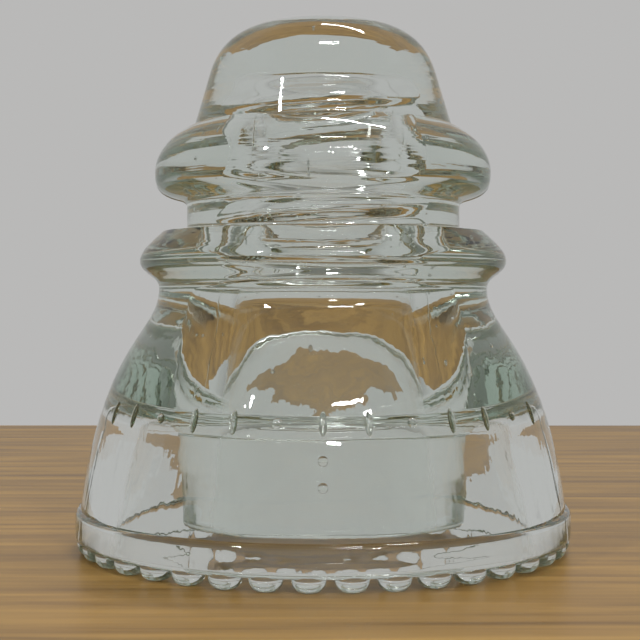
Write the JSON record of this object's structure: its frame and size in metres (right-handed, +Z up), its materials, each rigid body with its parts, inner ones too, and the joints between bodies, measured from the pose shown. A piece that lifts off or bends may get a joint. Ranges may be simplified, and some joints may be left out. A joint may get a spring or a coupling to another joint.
{
  "type": "pin insulator",
  "caption": "Clear pressed glass pin insulator with a domed crown, a side wire groove between two ridges, a threaded pinhole, a double skirt and a ring of drip points.",
  "frame": {"origin": "on the insulator's axis, level with the feet of the drip points that it stands on", "axes": "+Z up the axis from the drip points to the crown; the insulator is round, and -Y is the side seen in front"},
  "size_m": [0.0952, 0.0952, 0.1016],
  "materials": {
    "glass": "glossy pressed glass, clear with a faint grey-green tint where it is thick, with a wavy hand-pressed surface"
  },
  "bodies": {
    "root": {"crown_dome": "glass", "upper_wire_ridge": "glass", "wire_groove_neck": "glass", "lower_wire_ridge": "glass", "skirt_shoulder": "glass", "outer_skirt": "glass", "inner_skirt": "glass", "base_band": "glass", "drip_point_ring": "glass"}
  },
  "joints": []
}
